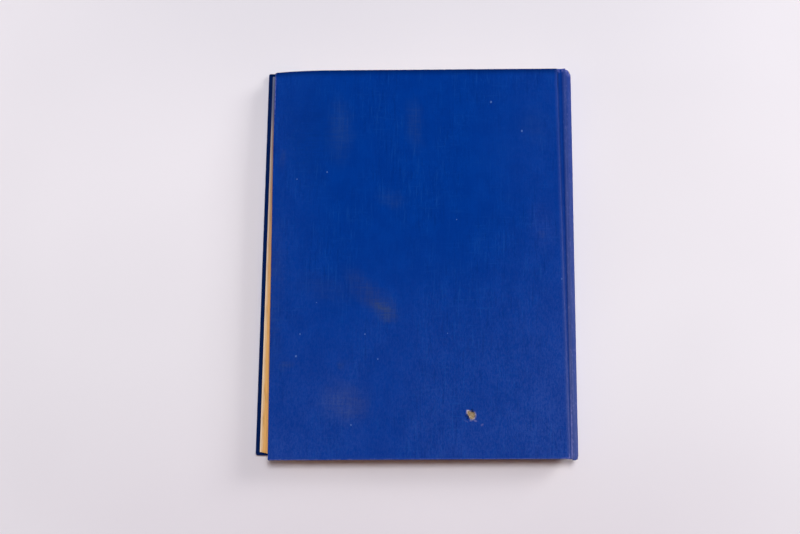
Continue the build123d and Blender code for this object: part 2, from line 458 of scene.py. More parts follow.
def cloth_material(name, soiled):
    """Blue book cloth. Marks on the mesh say where it is worn, faded, frayed or turned inside, and where
    shade is painted.
    """
    mat = Surface(name)
    weave, dashes, upright, level = cloth_threads(mat)
    broad = mat.noise((0.012, 0.009, 0.012), 3.0, 0.55)
    mottle = mat.noise((0.075, 0.05, 0.075), 3.0, 0.6)
    patchy = mat.ramp(mat.noise((0.035, 0.022, 0.03)), 0.4, 0.62)

    color = mat.mix(mat.ramp(mottle, 0.35, 0.68), DEEP_BLUE, FRESH_BLUE)
    if soiled:
        axes = mat.axes(mat.mm)
        # Lighter, greyer blue towards the tail, the spine and the fore-edge, broken up by noise
        lower = mat.ramp(axes["Y"], *HAZE_TAIL)
        right = mat.ramp(axes["X"], *HAZE_SPINE)
        left = mat.ramp(axes["X"], *HAZE_FORE)
        haze = mat.math("ADD", lower, mat.math("ADD", right, left))
        haze = mat.times(haze, mat.ramp(broad, 0.25, 0.7, 0.55, 1.15))
        haze = mat.times(haze, mat.ramp(mottle, 0.25, 0.75, 0.85, 1.15))
        lint = mat.noise((1.0, 0.42, 0.8), 3.0, 0.72)
        haze = mat.times(haze, mat.ramp(lint, 0.3, 0.7, 0.35, 1.65))
        color = mat.mix(mat.times(haze, 0.24, clamp=True), color, HAZY_BLUE)

    patchy = mat.math("ADD", patchy, 0.35)
    lit_dashes = mat.times(mat.ramp(dashes, 0.54, 0.76), 0.7)
    lit_level = mat.times(mat.ramp(level, 0.55, 0.72), 0.8)
    lit = mat.times(mat.most(lit_dashes, mat.ramp(upright, 0.54, 0.7), lit_level), patchy)
    dim_dashes = mat.times(mat.ramp(dashes, 0.46, 0.26), 0.7)
    dim = mat.times(mat.most(dim_dashes, mat.ramp(upright, 0.46, 0.32)), patchy)
    color = mat.mix(mat.times(lit, 0.15, clamp=True), color, LIGHT_THREAD)
    color = mat.mix(mat.times(dim, 0.2, clamp=True), color, DARK_THREAD)

    if soiled:
        cloud = mat.put("ShaderNodeTexNoise", {"Vector": mat.mm, "Scale": 0.09, "Detail": 3.0})
        drift = mat.vector("SUBTRACT", cloud.outputs["Color"], (0.5, 0.5, 0.5))
        drift = mat.vector("SCALE", drift, scale=11.0)
        strayed = mat.vector("ADD", mat.mm, drift)
        grain = mat.ramp(mat.math("ADD", upright, level), 0.82, 1.18, 0.5, 1.35)
        for x, y, length, width, angle, stain, strength in STAINS:
            blot = mat.blot(strayed, x, y, length, width, angle)
            share = mat.times(blot, mat.times(grain, strength), clamp=True)
            color = mat.mix(share, color, stain)
        edge = mat.ramp(axes["X"], *HANDLED_EDGE)
        along = mat.blot(strayed, *HANDLED_PLACE)
        handled = mat.times(edge, mat.times(along, grain))
        color = mat.mix(mat.times(handled, 0.1, clamp=True), color, BROWN_STAIN)
        small = mat.vector("ADD", mat.mm, mat.vector("SCALE", drift, scale=0.08))
        loose = mat.ramp(mat.noise((0.9, 0.9, 0.9)), 0.35, 0.55, 0.4, 1.0)
        # Loose threads, and painted shadow spots, round the hole
        for x, y, length, width, angle, spot_color, strength in HOLE_THREADS_AND_SHADOWS:
            hole_spot = mat.blot(small, x, y, length, width, angle, 0.4)
            share = mat.times(hole_spot, mat.times(loose, strength))
            color = mat.mix(share, color, spot_color)
        specks = [mat.blot(small, x, y, 0.8 * radius, radius, 0.0, 0.3) for x, y, radius in SPECKS]
        color = mat.mix(mat.times(mat.most(*specks), 0.45), color, PALE_SPECK)

    streak = mat.noise((0.9, 0.02, 0.5), 3.0, 0.6)
    faded = mat.mix(mat.ramp(streak, 0.25, 0.65), FADED_BLUE, FADED_LILAC)
    faded = mat.mix(mat.ramp(dashes, 0.52, 0.75), faded, FADED_LIGHT)
    faded = mat.mix(mat.times(dim, 0.25, clamp=True), faded, FADED_BLUE)
    fade = mat.times(mat.mark("fade"), mat.ramp(mottle, 0.25, 0.6, 0.8, 1.0))
    color = mat.mix(fade, color, faded)
    color = mat.mix(mat.mark("inside"), color, INNER_NAVY)
    # Painted shade: on the rolled edges, beside the head, in the groove and round the hole
    color = mat.mix(mat.mark("deep"), color, SHADED_NAVY)

    crumb = mat.noise((0.7, 0.35, 0.7), 3.0, 0.65)
    rub = mat.math("ADD", mat.mark("wear"), mat.times(crumb, 0.9))
    rubbed = mat.ramp(rub, 0.86, 1.35)
    color = mat.mix(rubbed, color, WORN_THREAD)
    tuft = mat.noise((0.5, 0.5, 0.5), 3.0, 0.6)
    frayed = mat.mix(mat.ramp(tuft, 0.46, 0.56), SOILED_THREAD, FRAYED_THREAD)
    torn = mat.times(mat.mark("fray"), mat.ramp(tuft, 0.38, 0.5, 0.25, 1.0))
    color = mat.mix(torn, color, frayed)

    shade = mat.ramp(weave, 0.0, 0.9, 0.84, 1.03)
    shade = mat.put("ShaderNodeCombineColor", {0: shade, 1: shade, 2: shade}).outputs[0]
    color = mat.mix(1.0, color, shade, "MULTIPLY")
    height = mat.math("ADD", weave, mat.times(lit, 0.8))
    roughness = mat.ramp(crumb, 0.3, 0.7, 0.78, 0.95)
    return mat.finish(color, roughness, height, 0.1, 0.45, Specular_IOR_Level=0.012)


# Colours of the paper
PAGE_CREAM = paint(236, 224, 196)
PAGE_TAN = paint(214, 184, 136)
PAGE_BROWN = paint(172, 128, 78)
EDGE_CREAM = paint(243, 219, 184)
EDGE_GOLD = paint(235, 179, 106)
EDGE_DARK = paint(168, 122, 74)
# Colour of the painted bluish shade on the cut edges
LEAF_EDGE_SHADE = paint(74, 92, 134)

# Middle of the leaves, and the y and x between which painted bluish shade sets in on their cut edges at head
# and fore-edge
LEAF_CENTER = (3.0, -0.5)
LEAF_SHADE_HEAD = (62.0, 132.0)
LEAF_SHADE_ALONG = (-80.0, 220.0)
LEAF_SHADE_FORE = (-98.0, -108.0)


def aged_paper(mat, center, turn, half_u, half_v):
    """Cream paper, tanned towards the edges of a turned rectangle, with a few brown spots."""
    axes = mat.axes(mat.moved(mat.mm, center, turn))
    from_side = mat.math("SUBTRACT", half_u, mat.math("ABSOLUTE", axes["X"]))
    from_end = mat.math("SUBTRACT", half_v, mat.math("ABSOLUTE", axes["Y"]))
    from_edge = mat.math("MINIMUM", from_side, from_end)
    cloud = mat.noise((0.03, 0.03, 0.03), 4.0, 0.6)
    fibre = mat.noise((0.9, 0.5, 0.9), 3.0, 0.6)
    spread = mat.math("ADD", from_edge, mat.times(cloud, -34.0))
    color = mat.mix(mat.ramp(spread, 8.0, -18.0), PAGE_CREAM, PAGE_TAN)
    color = mat.mix(mat.ramp(cloud, 0.5, 0.75, 0.0, 0.25), color, PAGE_TAN)
    spots = mat.put("ShaderNodeTexVoronoi", {"Vector": mat.mm, "Scale": 0.06, "Randomness": 1.0})
    chance = mat.put("ShaderNodeSeparateColor", {0: spots.outputs["Color"]}).outputs[0]
    small = mat.ramp(spots.outputs["Distance"], 0.08, 0.01)
    foxed = mat.times(small, mat.ramp(chance, 0.55, 0.95))
    color = mat.mix(mat.times(foxed, 0.4), color, PAGE_BROWN)
    color = mat.mix(mat.ramp(fibre, 0.35, 0.7, 0.0, 0.12), color, PAGE_TAN)
    return color, mat.math("ADD", fibre, mat.times(cloud, 6.0))


def paper_material(name, center, turn, half_u, half_v):
    mat = Surface(name)
    color, height = aged_paper(mat, center, turn, half_u, half_v)
    roughness = mat.ramp(height, 1.0, 5.0, 0.82, 0.92)
    return mat.finish(color, roughness, height, 0.06, 0.5, Specular_IOR_Level=0.2)


def leaves_material():
    """Paper of the leaves: aged pages outside, tan cut edges on the sides."""
    mat = Surface("leaf_paper")
    page, height = aged_paper(mat, LEAF_CENTER, SKEW, leaf_width / 2, LEAF_HEIGHT / 2)
    share = mat.mark("share")
    own = mat.mark("tone")
    stretch = mat.noise((0.03, 0.03, 0.6), 3.0, 0.6)
    jitter = mat.math("ADD", mat.times(own, 0.1), mat.times(stretch, 0.2))
    level = mat.math("ADD", share, mat.math("SUBTRACT", jitter, 0.15))
    light = mat.most(mat.ramp(level, 0.1, 0.02), mat.ramp(level, 0.4, 0.56, 0.0, 0.6))
    edge = mat.mix(light, EDGE_GOLD, EDGE_CREAM)
    soil = mat.ramp(mat.noise((0.06, 0.06, 1.2), 4.0, 0.65), 0.52, 0.75, 0.0, 0.45)
    edge = mat.mix(soil, edge, EDGE_DARK)
    # Painted shade in the gaps between leaves
    edge = mat.mix(mat.times(mat.mark("gap"), 0.7), edge, EDGE_DARK)
    axes = mat.axes(mat.mm)
    # Painted bluish shade on the fore-edge's cut edges, growing towards the head and fading out on the top
    # leaves
    headward = mat.most(mat.ramp(axes["Y"], *LEAF_SHADE_HEAD), mat.ramp(axes["Y"], *LEAF_SHADE_ALONG))
    corner = mat.times(headward, mat.ramp(axes["X"], *LEAF_SHADE_FORE))
    corner = mat.times(corner, mat.ramp(share, 1.0, 0.9))
    edge = mat.mix(mat.times(corner, 0.92), edge, LEAF_EDGE_SHADE)
    color = mat.mix(mat.mark("page"), edge, page)
    return mat.finish(color, 0.88, height, 0.06, 0.4, Specular_IOR_Level=0.2)


def fibre_material(name, base, flecks, pale, frequency):
    """Pressed board or strong paper, with darker and paler fibres."""
    mat = Surface(name)
    long = mat.noise(frequency, 4.0, 0.65)
    cloud = mat.noise((0.06, 0.06, 0.06), 3.0, 0.5)
    blotch = mat.noise((0.6, 0.6, 0.6), 3.0, 0.6)
    color = mat.mix(mat.ramp(long, 0.38, 0.66), base, flecks)
    color = mat.mix(mat.ramp(cloud, 0.35, 0.8, 0.0, 0.35), color, flecks)
    color = mat.mix(mat.ramp(blotch, 0.52, 0.66, 0.0, 0.8), color, pale)
    return mat.finish(color, 0.9, long, 0.12, 0.5, Specular_IOR_Level=0.15)


cloth = cloth_material("book_cloth", False)
back_cloth = cloth_material("soiled_book_cloth", True)
board_stuff = fibre_material(
    "grey_board", paint(176, 156, 122), paint(118, 98, 74), paint(206, 192, 178), (0.8, 1.6, 1.6)
)
card_stuff = fibre_material(
    "spine_card", paint(164, 148, 118), paint(136, 118, 90), paint(178, 164, 138), (0.7, 2.2, 2.2)
)
lining_stuff = fibre_material(
    "glued_gauze", paint(206, 192, 160), paint(172, 150, 112), paint(216, 206, 182), (1.6, 1.6, 1.6)
)


# Worn hole in the cloth of the back cover: its place on the cover, then its radius and the paleness of its
# rim at even steps round it, starting towards the spine. Where the rim is not pale it has painted shadow.
HOLE_FROM_SPINE = 74.2
HOLE_FROM_TAIL = 33.6
HOLE_RADII = [2.9, 2.9, 2.6, 2.2, 2.2, 2.8, 3.2, 3.1, 2.6, 2.2, 2.2, 2.7, 3.3, 3.5, 3.3, 3.1]
HOLE_RIM = [0.7, 0.5, 0.1, 0.0, 0.2, 0.9, 1.0, 0.9, 0.3, 0.0, 0.0, 0.2, 0.6, 0.7, 0.6, 0.7]
HOLE_RAG = 0.35
HOLE_RIPPLE = (5.0, 5.0, 1.3)
HOLE_SMOOTH = 6
HOLE_PATCH = 7.0
HOLE_STEPS = 17
HOLE_RINGS = 8
HOLE_LIFT = 0.2
HOLE_WEAR = 0.4
HOLE_RIM_RUN = (0.68, 0.95)


def hole_outline():
    """Directions and radii of a smooth closed curve through the hole's listed radii."""
    count = len(HOLE_RADII)
    turns = [2 * math.pi * k / count for k in range(count)]
    ends = [Vector((r * math.cos(t), r * math.sin(t))) for r, t in zip(HOLE_RADII, turns)]
    curve = []
    for k in range(count):
        before, start, end, after = (ends[(k + d) % count] for d in (-1, 0, 1, 2))
        for step in range(HOLE_SMOOTH):
            t = step / HOLE_SMOOTH
            bend = 2 * before - 5 * start + 4 * end - after
            twist = 3 * start - before - 3 * end + after
            curve.append(start + 0.5 * (t * (end - before) + t**2 * bend + t**3 * twist))
    return [(math.degrees(math.atan2(p.y, p.x)) % 360, p.length) for p in curve]


hole_curve = sorted(hole_outline())


def hole_radius(angle):
    """Radius of the ragged hole in a direction."""
    turn = math.radians(angle)
    rag = ripple((math.cos(turn), math.sin(turn), 1.0), HOLE_RIPPLE)
    angles, radii = zip(*hole_curve)
    return float(np.interp(angle, angles, radii, period=360)) + HOLE_RAG * rag


def hole_rim(angle):
    """Paleness of the hole's rim in a direction; the rest of the rim gets painted shadow."""
    steps = [360 * k / len(HOLE_RIM) for k in range(len(HOLE_RIM))]
    return float(np.interp(angle, steps, HOLE_RIM, period=360))


END_LINES = (0.0, 1.0, 2.5, 4.5)


def cover_lines(low, high, step, patch=None):
    """Places of the grid lines, closer at both ends and round a patch."""
    start = [low + d for d in END_LINES]
    stop = [high - d for d in reversed(END_LINES)]
    if patch is None:
        stretches = [(start[-1], stop[0])]
    else:
        stretches = [(start[-1], patch - HOLE_PATCH), (patch + HOLE_PATCH, stop[0])]
    lines = start[:-1]
    for index, (first, last) in enumerate(stretches):
        count = max(2, round((last - first) / step) + 1)
        lines += np.linspace(first, last, count).tolist()
        if index == 0 and patch is not None:
            lines += np.linspace(last, patch + HOLE_PATCH, HOLE_STEPS).tolist()[1:-1]
    return lines + stop[1:]


def grid_border(low, high, start, end):
    """Places once round a rectangle of grid lines, from low to high along the first axis first."""
    out = [(i, start) for i in range(low, high)] + [(high, j) for j in range(start, end)]
    return out + [(i, end) for i in range(high, low, -1)] + [(low, j) for j in range(end, start, -1)]


# Marks of the cloth mesh; the last one is where shade is painted
CLOTH_MARKS = ("wear", "fade", "inside", "fray", "deep")
COVER_STEP = 3.0
COVER_SHARP = 60.0
FACE_WAVE = 0.12
FACE_WAVE_RUN = (1.5, 25.0)
BROAD_WAVE = (0.014, 0.011, 3.7)
SMALL_WAVE = (0.05, 0.04, 9.1)
SMALL_SHARE = 0.4
FACE_WEAR = 0.22
FACE_WEAR_RUN = 6.0
CORNER_STEPS = 6
ROLL_STEPS = 4
ROLL_INSIDE = 0.3
ROLL_SHADE_RUN = (0.2, 0.8)
# Painted shade on the rolled edge of each side, darkest at the head
EDGE_SHADE = {"head": 0.95, "turn": 0.5, "fore": 0.5, "tail": 0.25}
TAIL_WEAR = 0.18
FORE_WEAR = 0.4
FORE_WORN = (90.0, 145.0)
EDGE_WEAR = {"face": 0.3, "outer": 0.5, "inner": 0.4, "turn_in": 0.2}
RIM_INSET = 0.9
TURN_IN_LINES = (3.0, 6.0, 9.0, 12.0, TURN_IN)
CORNER_WEAR = {"spine": 0.28, "fore": 0.12}
CORNER_WEAR_RUN = 8.0
# Painted shade on the outer face beside the head: its darkest share and its run inward
HEAD_SHADE = 0.65
HEAD_SHADE_RUN = 6.0


def edge_rings():
    """Inset, depth, wear and inside share of the rings from the outer face round to the turn-in."""
    rings = [(RIM_INSET, 0.0, EDGE_WEAR["face"], 0.0)]
    angles = [math.pi / 2 * step / ROLL_STEPS for step in range(ROLL_STEPS + 1)]
    for angle in angles:
        inset, depth = EDGE_ROLL * (1 - math.sin(angle)), EDGE_ROLL * (1 - math.cos(angle))
        rings.append((inset, depth, EDGE_WEAR["outer"], 0.0))
    for step, angle in enumerate(angles):
        depth = TURN_IN_DEPTH - EDGE_ROLL * (1 - math.sin(angle))
        inside = ROLL_INSIDE + (1 - ROLL_INSIDE) * step / ROLL_STEPS
        rings.append((EDGE_ROLL * (1 - math.cos(angle)), depth, EDGE_WEAR["inner"], inside))
    rings.append((CORNER, TURN_IN_DEPTH, EDGE_WEAR["turn_in"], 1.0))
    rings += [(inset, TURN_IN_DEPTH, 0.0, 1.0) for inset in TURN_IN_LINES]
    return rings


def corner_wear(u, v):
    """Extra wear at the corners of a cover, more at those beside the spine."""
    most = CORNER_WEAR["spine" if u > 0 else "fore"]
    distance = math.hypot(half_width - abs(u), half_height - abs(v))
    return most * (1 - smooth(distance, 0.0, CORNER_WEAR_RUN))


def head_shade(v):
    """Painted shade on the outer face beside the head."""
    return HEAD_SHADE * (1 - smooth(half_height - v, 0.0, HEAD_SHADE_RUN))


# Marks beside the board's spine edge: at the head, and what the tail has more
RIDGE_RUN = 1.9
RIDGE_WEAR = (0.2, 0.3)
RIDGE_FADE = (0.3, 0.5)


def ridge_marks(distance, v):
    """Wear and fading beside the board's spine edge, both stronger towards the tail."""
    near = 1 - smooth(distance, 0.0, RIDGE_RUN)
    tailward = smooth(-v, -half_height, half_height)
    return [(least + more * tailward) * near for least, more in (RIDGE_WEAR, RIDGE_FADE)]


def cover_skin(name, place, material, hole=None):
    """Cloth over a board: its outer face, rolled edges and turn-ins, up to the board's spine edge."""
    shape = Shape(*CLOTH_MARKS)
    patch_u, patch_v = hole if hole else (None, None)
    u_lines = cover_lines(CORNER - half_width, half_width, COVER_STEP, patch_u)
    v_lines = cover_lines(CORNER - half_height, half_height - CORNER, COVER_STEP, patch_v)

    def face_depth(u, v):
        inner = min(half_width - abs(u), half_height - abs(v))
        waves = ripple((u, v, 1.0), BROAD_WAVE) + SMALL_SHARE * ripple((u, v, 1.0), SMALL_WAVE)
        return -FACE_WAVE * waves * smooth(inner, *FACE_WAVE_RUN)

    def face_point(u, v):
        inner = min(u + half_width, half_height - abs(v))
        wear = FACE_WEAR * (1 - smooth(inner, CORNER, FACE_WEAR_RUN))
        worn, faded = ridge_marks(half_width - u, v)
        worn = max(wear, worn) + corner_wear(u, v)
        # Each point of the face gets its wear, its fading and the painted shade beside the head
        return shape.point(place(u, v, face_depth(u, v)), wear=worn, fade=faded, deep=head_shade(v))

    grid = [[face_point(u, v) for v in v_lines] for u in u_lines]
    u_count, v_count = len(u_lines), len(v_lines)
    holed = None
    if hole:
        inside_u = [i for i, u in enumerate(u_lines) if abs(u - patch_u) <= HOLE_PATCH + 0.01]
        inside_v = [j for j, v in enumerate(v_lines) if abs(v - patch_v) <= HOLE_PATCH + 0.01]
        holed = (inside_u[0], inside_u[-1], inside_v[0], inside_v[-1])
    for i in range(u_count - 1):
        for j in range(v_count - 1):
            if holed and holed[0] <= i < holed[1] and holed[2] <= j < holed[3]:
                continue
            shape.face(grid[i][j], grid[i + 1][j], grid[i + 1][j + 1], grid[i][j + 1])
    if holed:
        border = grid_border(*holed)
        row = [grid[i][j] for i, j in border]
        for ring in range(1, HOLE_RINGS + 1):
            share = ring / HOLE_RINGS
            inner_row = []
            for i, j in border:
                du, dv = u_lines[i] - patch_u, v_lines[j] - patch_v
                angle = math.degrees(math.atan2(dv, du))
                reach = math.hypot(du, dv)
                radius = reach + (hole_radius(angle) - reach) * share**0.8
                u = patch_u + radius * math.cos(math.radians(angle))
                v = patch_v + radius * math.sin(math.radians(angle))
                depth = face_depth(u, v) - HOLE_LIFT * share**4
                pale = hole_rim(angle)
                rim = smooth(share, *HOLE_RIM_RUN)
                # Pale frayed threads where the rim is pale, painted shadow where it is not
                marks = {"fray": pale * rim, "deep": (1 - pale) * rim, "wear": HOLE_WEAR * share**3}
                inner_row.append(shape.point(place(u, v, depth), **marks))
            shape.band(row, inner_row, closed=True)
            row = inner_row

    corners = [math.pi / 2 * step / CORNER_STEPS for step in range(1, CORNER_STEPS)]
    top = half_height - CORNER
    stations = [(u_count - 1 - k, v_count - 1, "head", None) for k in range(u_count)]
    stations += [(0, v_count - 1, "turn", math.pi / 2 + angle) for angle in corners]
    stations += [(0, v_count - 1 - k, "fore", None) for k in range(v_count)]
    stations += [(0, 0, "turn", math.pi + angle) for angle in corners]
    stations += [(k, 0, "tail", None) for k in range(u_count)]

    def station_place(station, inset):
        i, j, side, angle = station
        u, v = u_lines[i], v_lines[j]
        if inset > CORNER:
            return (
                half_width - (half_width - u) * (COVER_WIDTH - inset) / (COVER_WIDTH - CORNER),
                v * (half_height - inset) / top,
            )
        radius = CORNER - inset
        if side == "turn":
            return u + radius * math.cos(angle), v + radius * math.sin(angle)
        if side == "fore":
            return u - radius, v
        return u, v + (radius if side == "head" else -radius)

    row = [grid[i][j] for i, j, side, angle in stations]
    for inset, depth, wear, inside in edge_rings():
        shared = {}
        next_row = []
        for station in stations:
            u, v = station_place(station, inset)
            key = station[:2] if inset >= CORNER else station
            if key not in shared:
                worn = wear + corner_wear(u, v) if inside < 1 else wear
                if station[2] == "tail" and inside == 0:
                    worn += TAIL_WEAR
                if station[2] == "fore" and inside == 0:
                    worn += FORE_WEAR * smooth(v, *FORE_WORN)
                # Painted shade on the rolled edges and beside the head, which also hides their wear there
                rolled = 1.0 if depth >= EDGE_ROLL else 1 - smooth(inset, *ROLL_SHADE_RUN)
                dark = EDGE_SHADE[station[2]] * rolled
                if inside == 0:
                    dark = max(dark, head_shade(v))
                marks = {"wear": worn * (1 - dark), "inside": inside, "deep": dark}
                shared[key] = shape.point(place(u, v, depth), **marks)
            next_row.append(shared[key])
        shape.band(next_row, row)
        row = next_row
    piece = shape.build(name, material, COVER_SHARP, flip=place is on_front_cover)
    return thicken(piece, CLOTH_SHOWN)


HEM_STEPS = 8


def rolled_rows(end, roll, back, step):
    """Place along the spine and depth of the rows of a sheet that is folded in at both ends."""
    turns = [math.pi * k / HEM_STEPS for k in range(HEM_STEPS + 1)]
    tail = [(-end + roll - roll * math.sin(a), roll + roll * math.cos(a)) for a in turns]
    head = [(-along, depth) for along, depth in reversed(tail)]
    count = round(2 * (end - roll) / step)
    middle = [(float(along), 0.0) for along in np.linspace(roll - end, end - roll, count + 1)[1:-1]]
    return [(-end + back, 2 * roll)] + tail + middle + head + [(end - back, 2 * roll)]


def joint_wall(width):
    """Run of the groove's wall, at most half of a narrow groove."""
    return min(GROOVE_WALL, 0.5 * width)


def groove_depth(run, width, depth, level):
    """Depth of the joint under the board's outer face, at a run from the board's edge."""
    wall = joint_wall(width)
    down = depth * smooth(run, 0.0, wall)
    return down - (depth - level) * smooth(run, min(width - wall, GROOVE_RISE * width), width)


JOINT_ROW_STEP = 2.5
WALL_COLUMNS = 6
FLOOR_COLUMNS = 6
LEVEL_COLUMNS = 4
FULL_GROOVE = 4.5
HEAD_FRESH = 0.5
GROOVE_FRESH = 0.95
# Darkest share of the painted shade in the groove, towards the head
GROOVE_SHADE = 0.3
JOINT_SHARP = 70.0
JOINT_TIP_WEAR = 0.6
JOINT_TIP_RUN = {"head": 9.0, "tail": 5.0}
JOINT_INSIDE = 0.6
SHOULDER_WEAR = 0.64
SHOULDER_WORN = (40.0, 140.0)
WALL_SHADE_RUN = 0.4
# Where marks start or end across the groove, as shares of its width
RIDGE_SHARE = 0.8
FRESH_SHARE = 0.3
SHADE_SHARES = (0.2, 0.4)
SHOULDER_SHARE = 0.7
FADE_SHARES = (0.62, 0.92)


def shoulder_wear(v):
    """Wear along the ridge beside the hinge line, in the tail half only."""
    return SHOULDER_WEAR * smooth(-v, *SHOULDER_WORN)


def joint_depth(width, depth, level):
    """Depth of a groove, which is shallow where it is narrow."""
    return level + (depth - level) * smooth(width, 0.0, FULL_GROOVE)


def joint_runs(width, end):
    """Places across a joint: down into the groove, over its floor, up again and level to the hinge line."""
    wall = joint_wall(width)
    stops = [0.0, wall, width - wall, width, end]
    counts = [WALL_COLUMNS, FLOOR_COLUMNS, WALL_COLUMNS, LEVEL_COLUMNS]
    runs = [0.0]
    for first, last, count in zip(stops, stops[1:], counts):
        runs += np.linspace(first, last, count + 1).tolist()[1:]
    return runs


def joint_strip(name, place, depth, level, joint_end, shoulder, material, flip):
    """Cloth from a board's spine edge through the groove to the hinge line, hemmed at head and tail.

    The groove ends at a shoulder beside the hinge, and is shallow where the board comes close to it.
    """
    shape = Shape(*CLOTH_MARKS)
    rows = []
    for v, extra in rolled_rows(half_height, JOINT_EDGE_DEPTH / 2, TURN_IN, JOINT_ROW_STEP):
        end = joint_end(v)
        width = end - shoulder
        tip = 1 - smooth(half_height - abs(v), 0.0, JOINT_TIP_RUN["head" if v > 0 else "tail"])
        headward = smooth(v, -half_height, half_height)
        deepest = joint_depth(width, depth, level)
        row = []
        for run in joint_runs(width, end):
            share = run / width
            worn, faded = ridge_marks(share * RIDGE_RUN / RIDGE_SHARE, v)
            faded *= 1 - GROOVE_FRESH * headward * smooth(share, 0.0, FRESH_SHARE)
            worn = max(worn, shoulder_wear(v) * smooth(share, SHOULDER_SHARE, 1.0))
            # Painted shade on the groove's wall beside the board, growing towards the head
            shaded = smooth(run, 0.0, WALL_SHADE_RUN) - smooth(share, *SHADE_SHARES)
            row.append(
                shape.point(
                    place(half_width + run, v, groove_depth(run, width, deepest, level) + extra),
                    wear=max(worn, JOINT_TIP_WEAR * tip) if extra < JOINT_EDGE_DEPTH else 0.0,
                    fade=max(faded, (1 - HEAD_FRESH * headward) * smooth(share, *FADE_SHARES)),
                    inside=smooth(extra, JOINT_INSIDE * JOINT_EDGE_DEPTH, JOINT_EDGE_DEPTH),
                    deep=GROOVE_SHADE * headward * shaded,
                )
            )
        rows.append(row)
    shape.sheet(rows)
    return thicken(shape.build(name, material, JOINT_SHARP, flip), CLOTH_SHOWN)


def spine_pull(y):
    """How far the worn ends of the spine draw in at the crown."""
    radius = SPINE_HEAD_RADIUS if y > 0 else SPINE_TAIL_RADIUS
    past = min(max(0.0, abs(y) - half_height + radius), radius)
    return radius - math.sqrt(radius**2 - past**2)


SPINE_ROW_STEP = 2.5
UPPER_COLUMNS = 14
LOWER_COLUMNS = 20
SPINE_WAVE = 0.1
SPINE_RIPPLE = (0.03, 1.7, 2.3)
SPINE_RIDGE_RUN = (0.2, 1.4)
SPINE_INSIDE = 0.7
SPINE_WEAR = {"head": (0.75, 14.0), "tail": (0.4, 5.0)}


def spine_skin(name, material):
    """Cloth over the rounded spine, from hinge line to hinge line, folded in over the card at both ends."""
    shape = Shape(*CLOTH_MARKS)
    columns = []
    for k in range(UPPER_COLUMNS + 1):
        angle = math.pi / 2 * (1 - k / UPPER_COLUMNS)
        columns.append((back_hinge.x, upper_spine_radius, angle))
    for k in range(1, LOWER_COLUMNS + 1):
        columns.append((front_hinge.x, lower_spine_radius, -math.pi / 2 * k / LOWER_COLUMNS))
    rows = []
    for y, depth in rolled_rows(half_height, SPINE_EDGE_DEPTH / 2, TURN_IN, SPINE_ROW_STEP):
        row = []
        for center_x, radius, angle in columns:
            reach = math.cos(angle)
            swell = SPINE_WAVE * ripple((y, angle, 1.0), SPINE_RIPPLE) * reach
            length = radius - depth + swell - SPINE_WAVE * reach
            x = center_x + length * reach - spine_pull(y) * reach**2
            worn, wear_run = SPINE_WEAR["head" if y > 0 else "tail"]
            tip = 1 - smooth(half_height - abs(y), 0.0, wear_run)
            ridge = 1 - smooth(length * reach, *SPINE_RIDGE_RUN) if angle > 0 else 0.0
            row.append(
                shape.point(
                    (x, y, crown_z + length * math.sin(angle)),
                    wear=max(worn * tip, shoulder_wear(y) * ridge) if depth < SPINE_EDGE_DEPTH else 0.0,
                    fade=1.0 - HEAD_FRESH * smooth(y, -half_height, half_height),
                    inside=smooth(depth, SPINE_INSIDE * SPINE_EDGE_DEPTH, SPINE_EDGE_DEPTH),
                )
            )
        rows.append(row)
    shape.sheet(rows)
    return thicken(shape.build(name, material, JOINT_SHARP), CLOTH_SHOWN)


LEAF_U_STEPS = 46
LEAF_V_STEPS = 62
LEAF_WAVE = 0.3
LEAF_RIPPLE = (0.012, 0.016, 2.2)
LEAF_SHARP = 35.0
LEAF_SEED = 7
LEAF_TRIM = 0.4
LOOSE_CHANCE = 0.12
LOOSE_INSET = (0.2, 0.7)
LAST_GAP = 0.2
# Rings of one leaf: height as a share of its room, extra inset and darkness of the painted shade in the gap
LEAF_RINGS = ((0.0, 0.0, 0.0), (0.8, 0.0, 0.0), (0.92, 0.3, 1.0))


